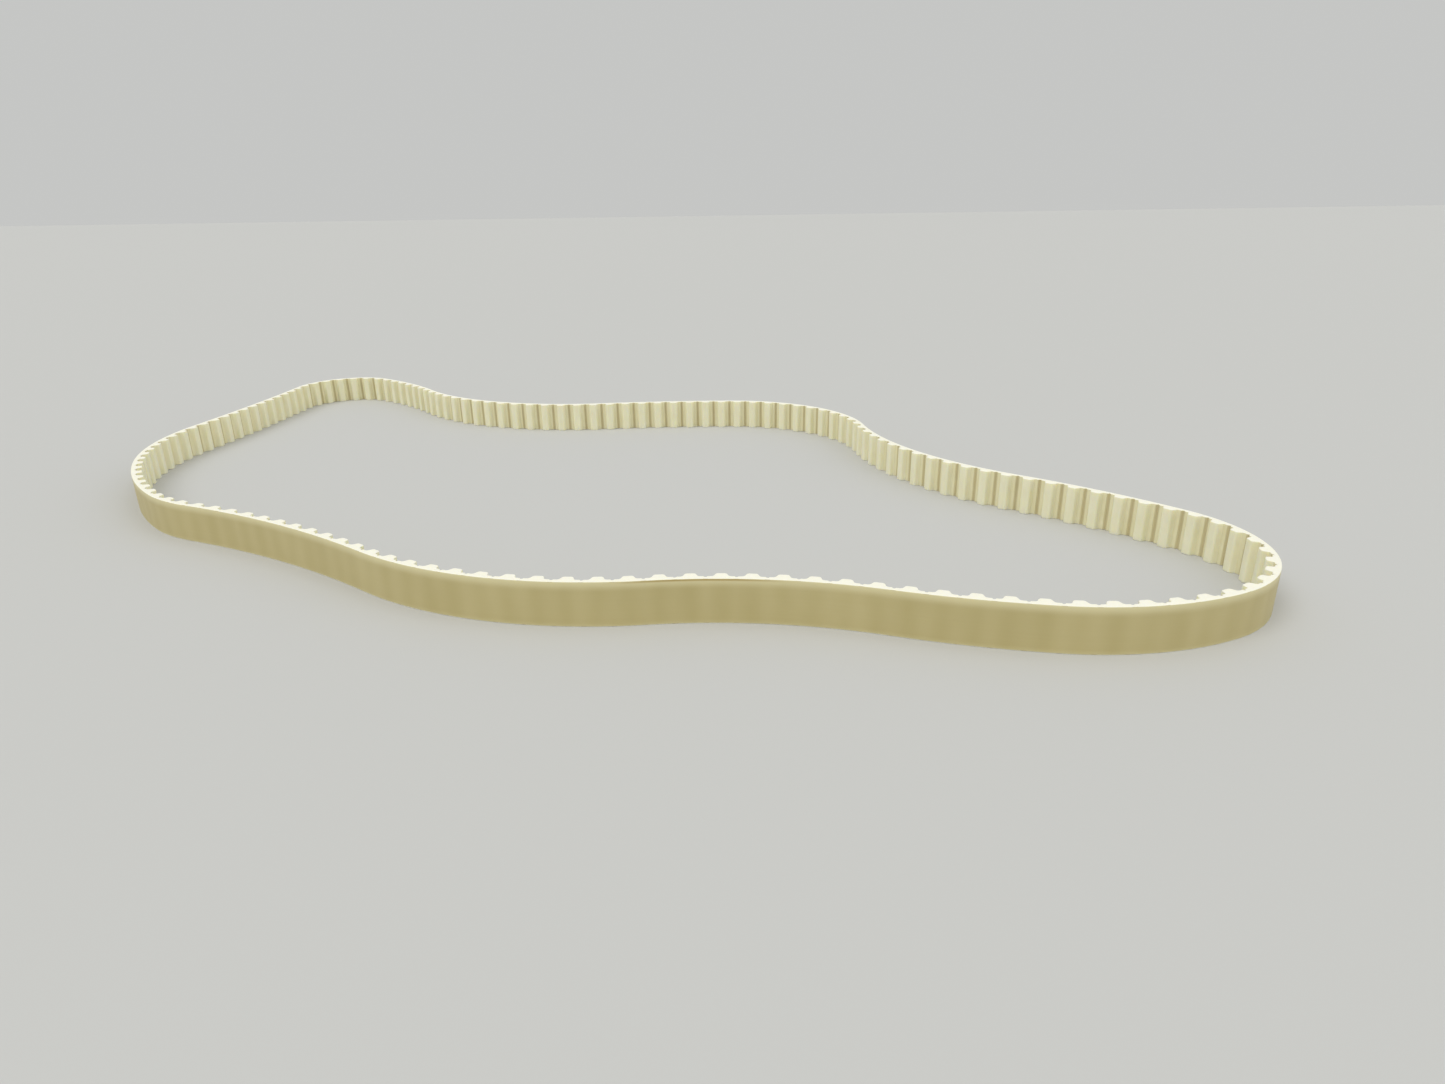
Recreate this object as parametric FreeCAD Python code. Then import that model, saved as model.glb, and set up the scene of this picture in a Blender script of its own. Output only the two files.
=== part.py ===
import FreeCAD, Part
import math
import os

# Endless moulded timing belt with trapezoid teeth and two wound steel cords.
# All lengths are in millimetres and all angles in degrees. The belt stands on its edge:
# X runs along its longest extent, Z is its width, and it turns anticlockwise seen from above.

os.makedirs("parts", exist_ok=True)

# Tooth profile and belt size
tooth_pitch = 10.0
belt_width = 16.0
back_thickness = 2.0
tooth_height = 2.5
tooth_root_width = 5.3
flank_angle = 20.0
nick_depth = 0.6
nick_mouth_width = 1.2
nick_bottom_width = 0.4

# Two cords, one twisted to the left and one to the right, wound side by side
cord_diameter = 0.6
cord_spacing = 1.25
cord_edge_cover = 0.8
cord_end_cover = 0.3

# Rounded joint between two spans, standing in for the belt's bending
joint_clearance = 0.06

# The line the cords follow lies midway between the gap floor and the back
cord_depth = back_thickness / 2

# How the loop lies: each stretch is a number of teeth and the angle it turns through,
# positive towards the toothed side. The stretches start at the left end of the near side.
lie = [
    (3, 21), (11, -16), (11, 45), (8, -27), (5, 11), (6, 36), (9, 100), (7, 14), (12, -46),
    (11, 83), (8, 9), (14, -60), (7, 18), (4, 78), (3, 48), (12, -6), (8, 32), (7, 20),
]
start_heading = -44.0
# Three stretches that are trimmed by a few degrees so that the two ends meet
trimmed_stretches = (6, 9, 13)

# Gap numbers, counted from the start of the loop, where each span begins
joint_gaps = [109, 126, 145, 14, 36, 51, 69, 91]

# Small values for drawing: the passes and the nudge in degrees that close the loop, the step
# for measuring it, how far inside a stretch its end points are taken, and the shortest edge
# and the flattest arc that are drawn
closing_passes = 8
turn_nudge = 0.01
measuring_step = 0.1
hair = 1e-7
shortest_edge = 0.01
flattest_arc = 1e-5


def lay_out(turns):
    """Start length, start point, start heading and turn rate of every stretch, and the end."""
    legs = []
    length_so_far = 0.0
    x = 0.0
    y = 0.0
    heading = math.radians(start_heading)
    for (teeth, _), turn in zip(lie, turns):
        length = teeth * tooth_pitch
        rate = math.radians(turn) / length
        legs.append((length_so_far, x, y, heading, rate))
        x, y, heading = step_along(x, y, heading, rate, length)
        length_so_far += length
    return legs, x, y


def step_along(x, y, heading, rate, length):
    """The point and heading reached after a length of constant turn rate."""
    turned = rate * length
    chord = length
    if abs(turned) > hair:
        chord = 2 * math.sin(turned / 2) / rate
    x += chord * math.cos(heading + turned / 2)
    y += chord * math.sin(heading + turned / 2)
    return x, y, heading + turned


def close_loop():
    """Trims three stretches until the loop closes, keeping the full turn of 360 degrees."""
    turns = [float(turn) for _, turn in lie]
    first, second, third = trimmed_stretches
    turns[third] += 360.0 - sum(turns)
    for _ in range(closing_passes):
        _, gap_x, gap_y = lay_out(turns)
        slopes = []
        for stretch in (first, second):
            nudged = list(turns)
            nudged[stretch] += turn_nudge
            nudged[third] -= turn_nudge
            _, x, y = lay_out(nudged)
            slopes.append(((x - gap_x) / turn_nudge, (y - gap_y) / turn_nudge))
        (ax, ay), (bx, by) = slopes
        scale = ax * by - bx * ay
        first_change = (bx * gap_y - by * gap_x) / scale
        second_change = (ay * gap_x - ax * gap_y) / scale
        turns[first] += first_change
        turns[second] += second_change
        turns[third] -= first_change + second_change
    return lay_out(turns)[0]


legs = close_loop()
teeth_in_loop = sum(teeth for teeth, _ in lie)
loop_length = teeth_in_loop * tooth_pitch


def leg_at(length):
    """The stretch that holds a point this far along the loop."""
    for leg in reversed(legs):
        if length >= leg[0]:
            return leg
    return legs[0]


def point_at(length, outward=0.0, forward=0.0):
    """A point beside the cord line: outward towards the back, forward along the loop."""
    start, x, y, heading, rate = leg_at(length % loop_length)
    x, y, heading = step_along(x, y, heading, rate, length % loop_length - start)
    x += outward * math.sin(heading) + forward * math.cos(heading)
    y += -outward * math.cos(heading) + forward * math.sin(heading)
    return FreeCAD.Vector(x - centre_x, y - centre_y, 0)


# Centre of the whole loop in plan, measured on the back
centre_x = 0.0
centre_y = 0.0
back_points = [point_at(measuring_step * step, back_thickness - cord_depth)
               for step in range(int(loop_length / measuring_step))]
centre_x = (min(p.x for p in back_points) + max(p.x for p in back_points)) / 2
centre_y = (min(p.y for p in back_points) + max(p.y for p in back_points)) / 2


def curve_along(begin, end, outward):
    """Edges that follow the loop from one length to another at a distance from the cords."""
    edges = []
    breaks = [begin]
    for lap in (0, 1):
        for leg in legs:
            corner = leg[0] + lap * loop_length
            if begin + shortest_edge < corner < end - shortest_edge:
                breaks.append(corner)
    breaks.append(end)
    for low, high in zip(breaks[:-1], breaks[1:]):
        first = point_at(low + hair, outward)
        last = point_at(high - hair, outward)
        if edges:
            first = edges[-1].lastVertex().Point
        middle = point_at((low + high) / 2, outward)
        bulge = (middle - (first + last) * 0.5).Length
        if bulge < flattest_arc:
            edges.append(Part.LineSegment(first, last).toShape())
        else:
            edges.append(Part.Arc(first, middle, last).toShape())
    return edges


def toothed_side(begin, end):
    """Corners of the toothed side, from the start of a span to its end."""
    tip_width = tooth_root_width - 2 * tooth_height * math.tan(math.radians(flank_angle))
    teeth = round((end - begin) / tooth_pitch)
    corners = []
    for tooth in range(teeth):
        middle = begin + (tooth + 0.5) * tooth_pitch
        floor = -cord_depth
        tip = -cord_depth - tooth_height
        corners.append(point_at(middle, floor, -tooth_root_width / 2))
        corners.append(point_at(middle, tip, -tip_width / 2))
        corners.append(point_at(middle, tip, tip_width / 2))
        corners.append(point_at(middle, floor, tooth_root_width / 2))
        if tooth < teeth - 1:
            gap = middle + tooth_pitch / 2
            corners.append(point_at(gap, floor, -nick_mouth_width / 2))
            corners.append(point_at(gap, floor + nick_depth, -nick_bottom_width / 2))
            corners.append(point_at(gap, floor + nick_depth, nick_bottom_width / 2))
            corners.append(point_at(gap, floor, nick_mouth_width / 2))
    return corners


def span_blank(begin, end):
    """The solid belt between two joints: a round nose at its end, a socket at its start."""
    outward = back_thickness - cord_depth
    socket_radius = outward + joint_clearance
    lip = math.sqrt(socket_radius ** 2 - outward ** 2)
    edges = curve_along(begin + lip, end, outward)
    nose_back = edges[-1].lastVertex().Point
    nose_floor = point_at(end - hair, -cord_depth)
    edges.append(Part.Arc(nose_back, point_at(end - hair, 0.0, outward), nose_floor).toShape())
    corners = toothed_side(begin, end)
    corners.insert(0, point_at(begin + lip, -cord_depth))
    corners.append(nose_floor)
    corners.reverse()
    for first, last in zip(corners[:-1], corners[1:]):
        edges.append(Part.LineSegment(first, last).toShape())
    socket_floor = corners[-1]
    socket_back = edges[0].firstVertex().Point
    socket_middle = point_at(begin, 0.0, socket_radius)
    edges.append(Part.Arc(socket_floor, socket_middle, socket_back).toShape())
    outline = Part.Wire(edges)
    return Part.Face(outline).extrude(FreeCAD.Vector(0, 0, belt_width))


def cord_runs(begin, end):
    """Cord runs side by side across the belt's width, from near the socket to near the nose tip."""
    outward = back_thickness - cord_depth
    first = begin + outward + joint_clearance + cord_end_cover
    last = end + outward - cord_end_cover
    line = Part.Wire(curve_along(first, last, 0.0))
    along = point_at(first, 0.0, 1.0) - point_at(first)
    ring = Part.Wire(Part.Circle(line.Edges[0].firstVertex().Point, along, cord_diameter / 2).toShape())
    run = line.makePipeShell([ring], True, True)
    room = belt_width - 2 * cord_edge_cover - cord_diameter
    count = 2 * int((room / cord_spacing + 1) / 2)
    lowest = (belt_width - (count - 1) * cord_spacing) / 2
    return [run.translated(FreeCAD.Vector(0, 0, lowest + index * cord_spacing))
            for index in range(count)]


for number, gap in enumerate(joint_gaps):
    next_gap = joint_gaps[(number + 1) % len(joint_gaps)]
    begin = gap * tooth_pitch
    end = next_gap * tooth_pitch
    if end < begin:
        end += loop_length
    blank = span_blank(begin, end)
    runs = cord_runs(begin, end)
    name = "span_%d" % (number + 1)
    blank.cut(Part.makeCompound(runs)).exportStep("parts/%s_toothed_body.step" % name)
    Part.makeCompound(runs[0::2]).exportStep("parts/%s_left_twist_cord.step" % name)
    Part.makeCompound(runs[1::2]).exportStep("parts/%s_right_twist_cord.step" % name)
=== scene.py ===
import math

import bmesh
import bpy
from mathutils import Euler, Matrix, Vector


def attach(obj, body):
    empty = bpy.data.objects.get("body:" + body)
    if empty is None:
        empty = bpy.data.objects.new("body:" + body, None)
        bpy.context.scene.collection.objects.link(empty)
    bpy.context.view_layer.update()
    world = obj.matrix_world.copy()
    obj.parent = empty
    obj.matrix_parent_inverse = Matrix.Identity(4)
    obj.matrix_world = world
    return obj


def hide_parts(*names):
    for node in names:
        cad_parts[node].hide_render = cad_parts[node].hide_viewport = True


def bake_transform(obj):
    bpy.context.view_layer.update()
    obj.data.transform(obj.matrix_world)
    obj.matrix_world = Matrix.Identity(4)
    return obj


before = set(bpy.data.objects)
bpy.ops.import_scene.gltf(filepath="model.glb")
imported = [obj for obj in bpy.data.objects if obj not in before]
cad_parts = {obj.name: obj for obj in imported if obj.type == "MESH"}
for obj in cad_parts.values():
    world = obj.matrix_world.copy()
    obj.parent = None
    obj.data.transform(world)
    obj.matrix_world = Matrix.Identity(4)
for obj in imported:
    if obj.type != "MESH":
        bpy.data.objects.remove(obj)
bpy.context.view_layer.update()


# ---------------------------------------------------------------------------------------------
# Belt body. One casting of polyurethane: 146 trapezoid teeth on a 2 mm back, cast on a toothed
# core whose winding nose leaves a nick in the middle of every gap, then slit to width. It bends
# everywhere, so a loose belt stands on its edge and springs into long waves.
# ---------------------------------------------------------------------------------------------
MM = 0.001
pitch = 10 * MM
belt_width = 16 * MM
back_out = 1.0 * MM
floor_in = -1.0 * MM
tooth_height = 2.5 * MM
root_half = 2.65 * MM
flank_angle = math.radians(20)
tooth_corner = 0.7 * MM
nick_depth = 0.6 * MM
nick_mouth_half = 0.6 * MM
nick_bottom_half = 0.2 * MM
slit_corner = 0.3 * MM

# Each stretch of the loop is a number of teeth and the angle it turns through, towards the
# teeth when positive. The numbers come from a program's fit to a real loose belt, rounded to
# whole ones. Three of them are trimmed here so that the ends meet.
lie = [
    (3, 21), (11, -16), (11, 45), (8, -27), (5, 11), (6, 36), (9, 100), (7, 14), (12, -46),
    (11, 83), (8, 9), (14, -60), (7, 18), (4, 78), (3, 48), (12, -6), (8, 32), (7, 20),
]
start_heading = math.radians(-44)
trimmed = (6, 9, 13)
closing_passes = 8
turn_nudge = 0.01
hair = 1e-9
same_place = 1e-6
teeth_in_loop = sum(teeth for teeth, _ in lie)
loop = teeth_in_loop * pitch


def advance(x, y, heading, rate, length):
    """The point and heading reached after a length of constant turn rate."""
    chord = length
    if abs(rate * length) > hair:
        chord = 2 * math.sin(rate * length / 2) / rate
    middle = heading + rate * length / 2
    return x + chord * math.cos(middle), y + chord * math.sin(middle), heading + rate * length


def lay_out(turns):
    """Start length, point, heading and turn rate of every stretch, and where the last one ends."""
    legs = []
    along, x, y, heading = 0.0, 0.0, 0.0, start_heading
    for (teeth, _), turn in zip(lie, turns):
        rate = math.radians(turn) / (teeth * pitch)
        legs.append((along, x, y, heading, rate))
        x, y, heading = advance(x, y, heading, rate, teeth * pitch)
        along += teeth * pitch
    return legs, Vector((x, y))


turns = [float(turn) for _, turn in lie]
turns[trimmed[2]] += 360 - sum(turns)
for _ in range(closing_passes):
    gap = lay_out(turns)[1]
    slopes = []
    for stretch in trimmed[:2]:
        nudged = list(turns)
        nudged[stretch] += turn_nudge
        nudged[trimmed[2]] -= turn_nudge
        slopes.append((lay_out(nudged)[1] - gap) / turn_nudge)
    scale = slopes[0].cross(slopes[1])
    changes = (slopes[1].cross(gap) / scale, gap.cross(slopes[0]) / scale)
    turns[trimmed[0]] += changes[0]
    turns[trimmed[1]] += changes[1]
    turns[trimmed[2]] -= sum(changes)
legs = lay_out(turns)[0]


def loose_point(along, outward):
    """A point beside the cord line and the heading there, before the loop is centred."""
    along %= loop
    start, x, y, heading, rate = [leg for leg in legs if leg[0] <= along + hair][-1]
    x, y, heading = advance(x, y, heading, rate, along - start)
    return x + outward * math.sin(heading), y - outward * math.cos(heading), heading


measuring_step = MM / 5
outside = [loose_point(step * measuring_step, back_out) for step in range(round(loop / measuring_step))]
middle_x = (min(p[0] for p in outside) + max(p[0] for p in outside)) / 2
middle_y = (min(p[1] for p in outside) + max(p[1] for p in outside)) / 2


def belt_point(along, outward, height, shift=0.0):
    """A point of the belt: outward from the cord line, shift along the heading there."""
    x, y, heading = loose_point(along, outward)
    x += shift * math.cos(heading)
    y += shift * math.sin(heading)
    return Vector((x - middle_x, y - middle_y, height))


def colour(hex_value):
    """An sRGB hex colour as the linear values that a shader takes."""
    parts = [int(hex_value[i:i + 2], 16) / 255 for i in (0, 2, 4)]
    return [p / 12.92 if p <= 0.04045 else ((p + 0.055) / 1.055) ** 2.4 for p in parts] + [1.0]


def node(tree, kind, settings, sockets, out=0):
    """Adds one node, sets its properties, sets or links its sockets, and returns an output."""
    made = tree.nodes.new(kind)
    for name, value in settings.items():
        setattr(made, name, value)
    for name, value in sockets.items():
        if isinstance(value, bpy.types.NodeSocket):
            tree.links.new(value, made.inputs[name])
        else:
            made.inputs[name].default_value = value
    return made.outputs[out]


def polyurethane(name, roughness, glow):
    """Cast polyurethane: satin, and milky enough for light to seep a millimetre or two in."""
    material = bpy.data.materials.new(name)
    material.use_nodes = True
    tree = material.node_tree
    shader = tree.nodes["Principled BSDF"]
    shader.inputs["Roughness"].default_value = roughness
    shader.inputs["IOR"].default_value = 1.5
    shader.inputs["Subsurface Weight"].default_value = glow
    shader.inputs["Subsurface Radius"].default_value = (1.0, 0.9, 0.55)
    shader.inputs["Subsurface Scale"].default_value = 1.8 * MM
    uv = node(tree, "ShaderNodeUVMap", {"uv_map": "belt"}, {})
    return material, tree, shader, uv


def cloudy(tree, uv, along_mm, across_mm, detail=3.0):
    """Cloudy noise stretched to a size along and across the belt, in millimetres."""
    size = (1 / (along_mm * MM), 1 / (across_mm * MM), 1)
    place = node(tree, "ShaderNodeMapping", {}, {"Vector": uv, "Scale": size})
    return node(tree, "ShaderNodeTexNoise", {}, {"Vector": place, "Scale": 1.0, "Detail": detail})


def over_gap(tree, uv):
    """A wave along the belt: 1 at the middle of each tooth gap and -1 at each tooth."""
    teeth = node(tree, "ShaderNodeMapping", {}, {"Vector": uv, "Scale": (2 * math.pi / pitch, 1, 1)})
    angle = node(tree, "ShaderNodeSeparateXYZ", {}, {"Vector": teeth})
    return node(tree, "ShaderNodeMath", {"operation": "COSINE"}, {0: angle})


# The back is a darker tan than the teeth, partly its own yellowing and partly painted shade of a side
# turned from the light. Painted tooth shadows make it a little darker behind each tooth and paler over
# the gaps, and a painted glow makes it paler at the slit edges. Faint lines run along it from the
# grinding, and one streak of old oil lies under the top edge of the near side.
back_finish, tree, shader, uv = polyurethane("tan_polyurethane_back_with_painted_shade", 0.48, 0.12)
soft = {"interpolation_type": "SMOOTHSTEP"}
along = node(tree, "ShaderNodeSeparateXYZ", {}, {"Vector": uv})
height = node(tree, "ShaderNodeSeparateXYZ", {}, {"Vector": uv}, 1)
cloud_share = 0.5
tooth_shadow_share = 0.28
grinding_share = 0.22
clouds = node(tree, "ShaderNodeMapRange", {},
              {0: cloudy(tree, uv, 17, 40), 1: 0.3, 2: 0.7, 4: cloud_share})
# Painted tooth shadow: the back is darker behind each tooth and paler over the gaps.
tooth_shadow = node(tree, "ShaderNodeMapRange", {}, {0: over_gap(tree, uv), 1: -1.0, 2: 1.0, 4: tooth_shadow_share})
grinding = cloudy(tree, uv, 90, 0.7, 4.0)
tone = node(tree, "ShaderNodeMath", {"operation": "ADD"}, {0: clouds, 1: tooth_shadow})
tone = node(tree, "ShaderNodeMath", {"operation": "MULTIPLY_ADD"},
            {0: grinding, 1: grinding_share, 2: tone})
ground = node(tree, "ShaderNodeMix", {"data_type": "RGBA"},
              {0: tone, 6: colour("BBAD77"), 7: colour("C9BC89")}, 2)
# Painted glow: the back turns paler towards both slit edges, as if light seeped in there.
tan_line = 7 * MM
tan_reach = 5.2 * MM
edge_glow_strength = 0.8
from_line = node(tree, "ShaderNodeMath", {"operation": "SUBTRACT"}, {0: height, 1: tan_line})
from_line = node(tree, "ShaderNodeMath", {"operation": "ABSOLUTE"}, {0: from_line})
edge_glow = node(tree, "ShaderNodeMapRange", soft,
              {0: from_line, 1: tan_reach, 2: belt_width - tan_line, 4: edge_glow_strength})
back_with_edge_glow = node(tree, "ShaderNodeMix", {"data_type": "RGBA"},
               {0: edge_glow, 6: ground, 7: colour("E8DFB2")}, 2)
streak_middle = 268 * MM
streak_reach = 34 * MM
streak_depth = 1.2 * MM
streak_strength = 0.75
off_streak = node(tree, "ShaderNodeMath", {"operation": "SUBTRACT"}, {0: along, 1: streak_middle})
off_streak = node(tree, "ShaderNodeMath", {"operation": "ABSOLUTE"}, {0: off_streak})
ends = node(tree, "ShaderNodeMapRange", soft,
            {0: off_streak, 1: streak_reach, 2: 0.3 * streak_reach, 3: 0.0, 4: streak_strength})
edge_line = node(tree, "ShaderNodeMapRange", soft,
                 {0: height, 1: belt_width - streak_depth, 2: belt_width - 0.4 * streak_depth})
oil = node(tree, "ShaderNodeMath", {"operation": "MULTIPLY"}, {0: ends, 1: edge_line})
oiled = node(tree, "ShaderNodeMix", {"data_type": "RGBA"},
             {0: oil, 6: back_with_edge_glow, 7: colour("A3832E")}, 2)
tree.links.new(oiled, shader.inputs["Base Color"])
relief = node(tree, "ShaderNodeBump", {}, {"Height": grinding, "Distance": 0.02 * MM})
tree.links.new(relief, shader.inputs["Normal"])

# The mould gives the teeth a fine satin skin.
tooth_finish, tree, shader, uv = polyurethane("moulded_polyurethane_teeth", 0.42, 0.5)
skin = node(tree, "ShaderNodeMix", {"data_type": "RGBA"},
            {0: cloudy(tree, uv, 5, 12), 6: colour("E9E5C1"), 7: colour("F4F1D8")}, 2)
tree.links.new(skin, shader.inputs["Base Color"])
relief = node(tree, "ShaderNodeBump", {},
              {"Height": cloudy(tree, uv, 0.35, 0.35), "Distance": 0.01 * MM})
tree.links.new(relief, shader.inputs["Normal"])

# The gap floors are yellower, and painted shade darkens the lips of each nick.
gap_finish, tree, shader, uv = polyurethane("moulded_polyurethane_gaps", 0.5, 0.2)
floors = node(tree, "ShaderNodeMix", {"data_type": "RGBA"},
              {0: cloudy(tree, uv, 4, 9), 6: colour("E0D9AD"), 7: colour("EEE9C8")}, 2)
# Painted shade in each nick: darker within about a millimetre of the middle of each gap.
nick_shade_half = 1.1 * MM
dark_half = 0.5 * MM
nick_shade_strength = 0.5
nick_shade_starts = math.cos(2 * math.pi * nick_shade_half / pitch)
nick_shade_full = math.cos(2 * math.pi * dark_half / pitch)
nick_shade = node(tree, "ShaderNodeMapRange", soft,
            {0: over_gap(tree, uv), 1: nick_shade_starts, 2: nick_shade_full, 4: nick_shade_strength})
nick_shaded = node(tree, "ShaderNodeMix", {"data_type": "RGBA"},
             {0: nick_shade, 6: floors, 7: colour("B7A673")}, 2)
tree.links.new(nick_shaded, shader.inputs["Base Color"])
relief = node(tree, "ShaderNodeBump", {},
              {"Height": cloudy(tree, uv, 0.4, 2), "Distance": 0.02 * MM})
tree.links.new(relief, shader.inputs["Normal"])

# The slit edges are painted nearly white, a painted highlight of the light from above, with a fine grain
# where the knife went through.
edge_finish, tree, shader, uv = polyurethane("slit_polyurethane_edge_painted_highlight", 0.6, 0.12)
knife_grain = 0.6 * MM
place = node(tree, "ShaderNodeTexCoord", {}, {}, "Object")
knife = node(tree, "ShaderNodeTexNoise", {}, {"Vector": place, "Scale": 1 / knife_grain, "Detail": 4.0})
cut = node(tree, "ShaderNodeMix", {"data_type": "RGBA"},
           {0: knife, 6: colour("F6F2DC"), 7: colour("FCFAED")}, 2)
tree.links.new(cut, shader.inputs["Base Color"])
relief = node(tree, "ShaderNodeBump", {}, {"Height": knife, "Distance": 0.02 * MM})
tree.links.new(relief, shader.inputs["Normal"])


def one_pitch():
    """One straight pitch of belt, from nick to nick, open at both ends: X along, Y outward."""
    bm = bmesh.new()
    half = pitch / 2
    nick_floor = floor_in + nick_depth
    tip_half = root_half - tooth_height * math.tan(flank_angle)
    inner = [
        (-half, nick_floor), (-half + nick_bottom_half, nick_floor), (-half + nick_mouth_half, floor_in),
        (-root_half, floor_in), (-tip_half, floor_in - tooth_height),
    ]
    outline = inner + [(-x, y) for x, y in reversed(inner)] + [(half, back_out), (-half, back_out)]
    face = bm.faces.new([bm.verts.new((x, y, 0)) for x, y in outline])
    made = bmesh.ops.extrude_face_region(bm, geom=[face])
    risen = [v for v in made["geom"] if isinstance(v, bmesh.types.BMVert)]
    bmesh.ops.translate(bm, vec=(0, 0, belt_width), verts=risen)
    corners = [e for e in bm.edges if abs(e.verts[0].co.z - e.verts[1].co.z) > MM
               and e.verts[0].co.y < floor_in + same_place
               and abs(e.verts[0].co.x) < root_half + same_place]
    bmesh.ops.bevel(bm, geom=corners, offset=tooth_corner, segments=4, profile=0.5,
                    affect="EDGES", material=-1)
    # Cuts across the back, so that it can curve between the teeth
    for cut in (-3.9 * MM, -0.9 * MM, 0.9 * MM, 3.9 * MM):
        bmesh.ops.bisect_plane(bm, geom=bm.verts[:] + bm.edges[:] + bm.faces[:],
                               plane_co=(cut, 0, 0), plane_no=(1, 0, 0))
    ends = [f for f in bm.faces if all(abs(abs(v.co.x) - half) < same_place for v in f.verts)]
    bmesh.ops.delete(bm, geom=ends, context="FACES")
    bmesh.ops.recalc_face_normals(bm, faces=bm.faces)
    return bm


def bend_to_loop(bm, first_gap):
    """Bends straight stock to the loop. The teeth stay rigid, and only the back behind them bends."""
    start = first_gap * pitch
    stiff_from = floor_in - 0.2 * MM
    for vert in bm.verts:
        along, outward, height = vert.co
        tooth = (math.floor(along / pitch) + 0.5) * pitch
        if outward < stiff_from:
            vert.co = belt_point(start + tooth, outward, height, along - tooth)
        else:
            vert.co = belt_point(start + along, outward, height)


def belt_length(name, first_gap, last_gap):
    """A length of belt between two tooth gaps, bent to the loop's shape."""
    module = one_pitch()
    mesh = bpy.data.meshes.new(name)
    module.to_mesh(mesh)
    module.free()
    bm = bmesh.new()
    for tooth in range(last_gap - first_gap):
        before = len(bm.verts)
        bm.from_mesh(mesh)
        bm.verts.ensure_lookup_table()
        bmesh.ops.translate(bm, vec=((tooth + 0.5) * pitch, 0, 0), verts=bm.verts[before:])
    bmesh.ops.remove_doubles(bm, verts=bm.verts, dist=0.01 * MM)
    bmesh.ops.holes_fill(bm, edges=[e for e in bm.edges if e.is_boundary], sides=0)
    rims = [e for e in bm.edges if len(e.link_faces) == 2
            and abs(abs(e.link_faces[0].normal.z) - abs(e.link_faces[1].normal.z)) > 0.9
            and max(abs(f.normal.x) for f in e.link_faces) < 0.999]
    bmesh.ops.bevel(bm, geom=rims, offset=slit_corner, segments=3, profile=0.5,
                    affect="EDGES", material=-1)
    bmesh.ops.recalc_face_normals(bm, faces=bm.faces)
    uv = bm.loops.layers.uv.new("belt")
    finishes = (back_finish, tooth_finish, gap_finish, edge_finish)
    ground_from = back_out - 0.02 * MM
    gap_from = floor_in - 0.35 * MM
    for face in bm.faces:
        middle = face.calc_center_median()
        finish = tooth_finish
        if abs(face.normal.z) > 0.5:
            finish = edge_finish
        elif middle.y > ground_from:
            finish = back_finish
        elif middle.y > gap_from:
            finish = gap_finish
        face.material_index = finishes.index(finish)
        face.smooth = True
        for corner in face.loops:
            corner[uv].uv = (first_gap * pitch % loop + corner.vert.co.x, corner.vert.co.z)
        if abs(face.normal.x) > 0.999 and len(face.verts) > 8:
            face.smooth = False
            for edge in face.edges:
                edge.smooth = False
    bend_to_loop(bm, first_gap)
    bm.to_mesh(mesh)
    bm.free()
    for finish in finishes:
        mesh.materials.append(finish)
    belt = bpy.data.objects.new(name, mesh)
    bpy.context.scene.collection.objects.link(belt)
    belt.modifiers.new("shading", "WEIGHTED_NORMAL").keep_sharp = True
    return belt


# Each length runs from the middle of one span to the middle of the next, across the joint between
# them. The last joint is open, so a length ends there and another starts. The joints stand at
# gaps that a program's search found to let the loop bend and stay closed.
joint_gaps = [109, 126, 145, 160, 182, 197, 215, 237, 255]
bend_half = 1.5 * pitch
lengths = [(joint_gaps[0], (joint_gaps[0] + joint_gaps[1]) // 2)]
for number in range(1, 8):
    lengths.append((lengths[-1][1], (joint_gaps[number] + joint_gaps[number + 1]) // 2))
lengths.append((lengths[-1][1], joint_gaps[8]))


def fix_to_spans(piece, number):
    """Length 1 rides on span_1 and 9 on span_8; any other is left where it lies, on no span."""
    if number in (1, 9):
        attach(piece, "span_1" if number == 1 else "span_8")
        return
    joint = joint_gaps[number - 1] * pitch
    belt_point(joint, 0, belt_width / 2, -bend_half)
    belt_point(joint, 0, belt_width / 2, bend_half)
    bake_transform(piece)


for number, (first_gap, last_gap) in enumerate(lengths, start=1):
    belt = belt_length("belt_length_%d" % number, first_gap, last_gap)
    if number < 9:
        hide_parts("span_%d_toothed_body" % number)
    fix_to_spans(belt, number)


# ---------------------------------------------------------------------------------------------
# Steel cords. Two strands of zinc-coated steel wire, 0.6 mm across, one twisted to the left and
# one to the right, are wound side by side round the mould core before the casting. They carry
# the pull, and lie midway in the back, out of sight.
# ---------------------------------------------------------------------------------------------
cord_radius = 0.3 * MM
cord_spacing = 1.25 * MM
cord_runs = 12
cord_step = 2.5 * MM
strand_lay = 6 * MM
strand_wires = 6


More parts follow.
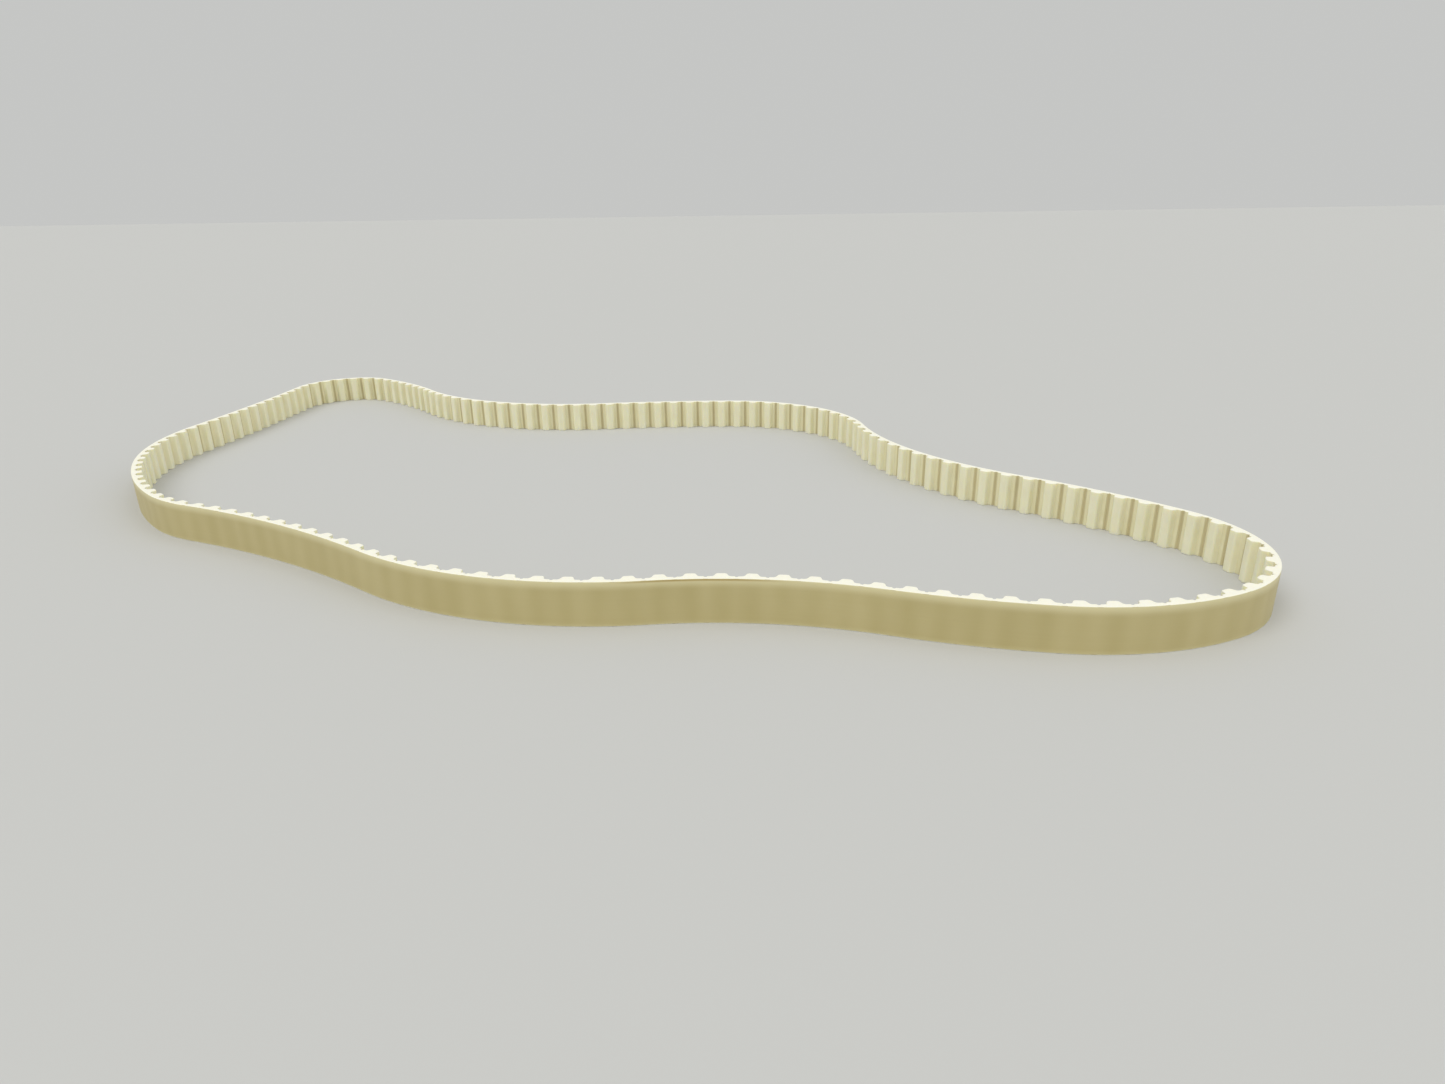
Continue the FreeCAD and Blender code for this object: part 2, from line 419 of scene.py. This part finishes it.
def steel_strand(name, turn):
    """Grey twisted wires, drawn as slanting stripes with a groove between each two, each groove painted
    darker as shade.
    """
    material = bpy.data.materials.new(name)
    material.use_nodes = True
    tree = material.node_tree
    shader = tree.nodes["Principled BSDF"]
    shader.inputs["Metallic"].default_value = 1.0
    shader.inputs["Roughness"].default_value = 0.38
    uv = node(tree, "ShaderNodeUVMap", {"uv_map": "cord"}, {})
    lay = node(tree, "ShaderNodeMapping", {},
               {"Vector": uv, "Scale": (2 * math.pi * strand_wires / strand_lay, 0, 1)})
    round_it = node(tree, "ShaderNodeMapping", {},
                    {"Vector": uv, "Scale": (0, turn * 2 * math.pi * strand_wires, 1)})
    slant = node(tree, "ShaderNodeVectorMath", {"operation": "DOT_PRODUCT"},
                 {0: node(tree, "ShaderNodeVectorMath", {"operation": "ADD"}, {0: lay, 1: round_it}),
                  1: (1, 1, 0)}, "Value")
    groove = node(tree, "ShaderNodeMath", {"operation": "COSINE"}, {0: slant})
    # Painted shade: the wire colour darkens into each groove.
    depth = node(tree, "ShaderNodeMapRange", {}, {0: groove, 1: -1.0, 2: 0.0})
    wire = node(tree, "ShaderNodeMix", {"data_type": "RGBA"},
                {0: depth, 6: colour("6E6A62"), 7: colour("A9A79F")}, 2)
    tree.links.new(wire, shader.inputs["Base Color"])
    relief = node(tree, "ShaderNodeBump", {}, {"Height": groove, "Distance": 0.05 * MM})
    tree.links.new(relief, shader.inputs["Normal"])
    return material


def cord_length(name, first_gap, last_gap, first_run, finish):
    """Every second cord run of a belt length: straight round stock, bent to the loop."""
    bm = bmesh.new()
    reach = (last_gap - first_gap) * pitch
    end_cover = 0.3 * MM
    uv = bm.loops.layers.uv.new("cord")
    bmesh.ops.create_cone(bm, cap_ends=True, segments=8, radius1=cord_radius, radius2=cord_radius,
                          depth=reach - 2 * end_cover)
    bmesh.ops.rotate(bm, cent=(0, 0, 0), matrix=Euler((0, math.pi / 2, 0)).to_matrix(), verts=bm.verts)
    bmesh.ops.translate(bm, vec=(reach / 2, 0, 0), verts=bm.verts)
    for step in range(1, int(reach / cord_step)):
        bmesh.ops.bisect_plane(bm, geom=bm.verts[:] + bm.edges[:] + bm.faces[:],
                               plane_co=(step * cord_step, 0, 0), plane_no=(1, 0, 0))
    bm.normal_update()
    for face in bm.faces:
        face.smooth = abs(face.normal.x) < 0.5
        middle = face.calc_center_median()
        for corner in face.loops:
            turned = math.atan2(corner.vert.co.z, corner.vert.co.y) / (2 * math.pi)
            seen_from = math.atan2(middle.z, middle.y) / (2 * math.pi)
            corner[uv].uv = (corner.vert.co.x, turned + round(seen_from - turned))
    stock = bpy.data.meshes.new(name + "_stock")
    bm.to_mesh(stock)
    bm.clear()
    lowest = (belt_width - (cord_runs - 1) * cord_spacing) / 2
    for run in range(first_run, cord_runs, 2):
        before = len(bm.verts)
        bm.from_mesh(stock)
        bm.verts.ensure_lookup_table()
        bmesh.ops.translate(bm, vec=(0, 0, lowest + run * cord_spacing), verts=bm.verts[before:])
    bend_to_loop(bm, first_gap)
    mesh = bpy.data.meshes.new(name)
    bm.to_mesh(mesh)
    bm.free()
    mesh.materials.append(finish)
    cords = bpy.data.objects.new(name, mesh)
    bpy.context.scene.collection.objects.link(cords)
    return cords


for twist, first_run, turn in (("left", 0, -1), ("right", 1, 1)):
    strand = steel_strand("%s_twist_steel_strand" % twist, turn)
    for number, (first_gap, last_gap) in enumerate(lengths, start=1):
        cords = cord_length("%s_twist_cord_length_%d" % (twist, number), first_gap, last_gap,
                            first_run, strand)
        if number < 9:
            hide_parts("span_%d_%s_twist_cord" % (number, twist))
        fix_to_spans(cords, number)


# ---------------------------------------------------------------------------------------------
# Stage: a plain pale floor, soft studio light, and the camera at a low three-quarter view.
# ---------------------------------------------------------------------------------------------
floor_reach = 60
floor_mesh = bpy.data.meshes.new("floor")
bm = bmesh.new()
bmesh.ops.create_grid(bm, x_segments=1, y_segments=1, size=floor_reach)
bm.to_mesh(floor_mesh)
bm.free()
floor = bpy.data.objects.new("floor", floor_mesh)
bpy.context.scene.collection.objects.link(floor)
floor_paint = bpy.data.materials.new("pale_floor")
floor_paint.use_nodes = True
floor_shader = floor_paint.node_tree.nodes["Principled BSDF"]
floor_shader.inputs["Base Color"].default_value = colour("C6C6C3")
floor_shader.inputs["Roughness"].default_value = 0.7
floor_mesh.materials.append(floor_paint)

world = bpy.data.worlds.new("studio")
bpy.context.scene.world = world
world.use_nodes = True
world.node_tree.nodes["Background"].inputs["Color"].default_value = colour("F4F5F3")
world.node_tree.nodes["Background"].inputs["Strength"].default_value = 0.62
for name, strength, spread, shines in (("key", 1.1, 40, (0.55, 0.45, -1)),
                                       ("fill", 0.58, 60, (-0.85, 0.35, -0.6)),
                                       ("overhead", 0.3, 60, (0, 0, -1))):
    lamp = bpy.data.lights.new(name, "SUN")
    lamp.energy = strength
    lamp.angle = math.radians(spread)
    light = bpy.data.objects.new(name, lamp)
    bpy.context.scene.collection.objects.link(light)
    light.rotation_euler = Vector(shines).to_track_quat("-Z", "Y").to_euler()

bpy.context.scene.view_settings.view_transform = "Standard"
camera_data = bpy.data.cameras.new("camera")
camera_data.sensor_width = 36
camera_data.lens = 21.98
camera = bpy.data.objects.new("camera", camera_data)
bpy.context.scene.collection.objects.link(camera)
camera.location = (57.6 * MM, -445.0 * MM, 125.8 * MM)
down_tilt = math.radians(20.42)
turn_left = math.radians(0.1)
roll = math.radians(-0.84)
aim = Euler((math.pi / 2 - down_tilt, 0, turn_left)).to_matrix() @ Euler((0, 0, roll)).to_matrix()
camera.rotation_euler = aim.to_euler()
bpy.context.scene.camera = camera
